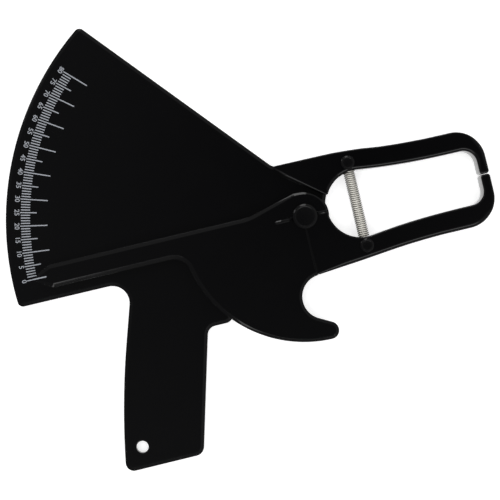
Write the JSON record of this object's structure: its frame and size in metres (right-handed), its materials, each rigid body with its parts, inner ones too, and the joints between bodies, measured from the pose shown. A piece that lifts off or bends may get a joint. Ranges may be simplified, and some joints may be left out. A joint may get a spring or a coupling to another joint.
{
  "type": "skinfold caliper",
  "caption": "Hand-held skinfold caliper: scale sector with pistol grip and fixed jaw, and a sprung lever with pointer, trigger and moving jaw on one pivot.",
  "frame": {"origin": "on the pivot's axis, at the caliper's flat back", "axes": "+X from the pivot to the jaw tips, +Z out of the printed front; the caliper lies on its back"},
  "size_m": [0.2857, 0.2602, 0.0159],
  "materials": {
    "black_plastic": "glossy black moulded ABS",
    "pin_plastic": "black acetal, moulded",
    "bright_steel": "bright stamped steel",
    "nickel_wire": "nickel-plated spring wire"
  },
  "bodies": {
    "frame_body": {"frame": "black_plastic", "pivot_pin": "pin_plastic", "pivot_washer": "bright_steel", "pivot_retainer": "bright_steel"},
    "lever_body": {"lever": "black_plastic", "lower_spring_pin": "pin_plastic"},
    "spring_anchor": {"upper_spring_pin": "pin_plastic"},
    "spring_body": {"tension_spring": "nickel_wire"}
  },
  "joints": [
    {"name": "jaw_hinge", "type": "hinge", "parent": "frame_body", "child": "lever_body", "pos_m": [0, 0, 0.00985], "axis": [0, 0, -1], "range_deg": [0, 46], "stiffness_Nm_per_rad": 0.6, "springref_deg": -80.21},
    {"name": "spring_swing", "type": "hinge", "parent": "frame_body", "child": "spring_anchor", "pos_m": [0.0311, 0.0246, 0.007], "axis": [0, 0, -1], "range_deg": [0, 23]},
    {"name": "spring_stretch", "type": "slide", "parent": "spring_anchor", "child": "spring_body", "axis": [0, -1, 0], "range_m": [0, 0.0205], "deforming": ["tension_spring"]}
  ],
  "couplings": [
    {"joint": "spring_swing", "follows": "jaw_hinge", "ratio": 0.5},
    {"joint": "spring_stretch", "follows": "jaw_hinge", "m_per_rad": 0.0254}
  ]
}
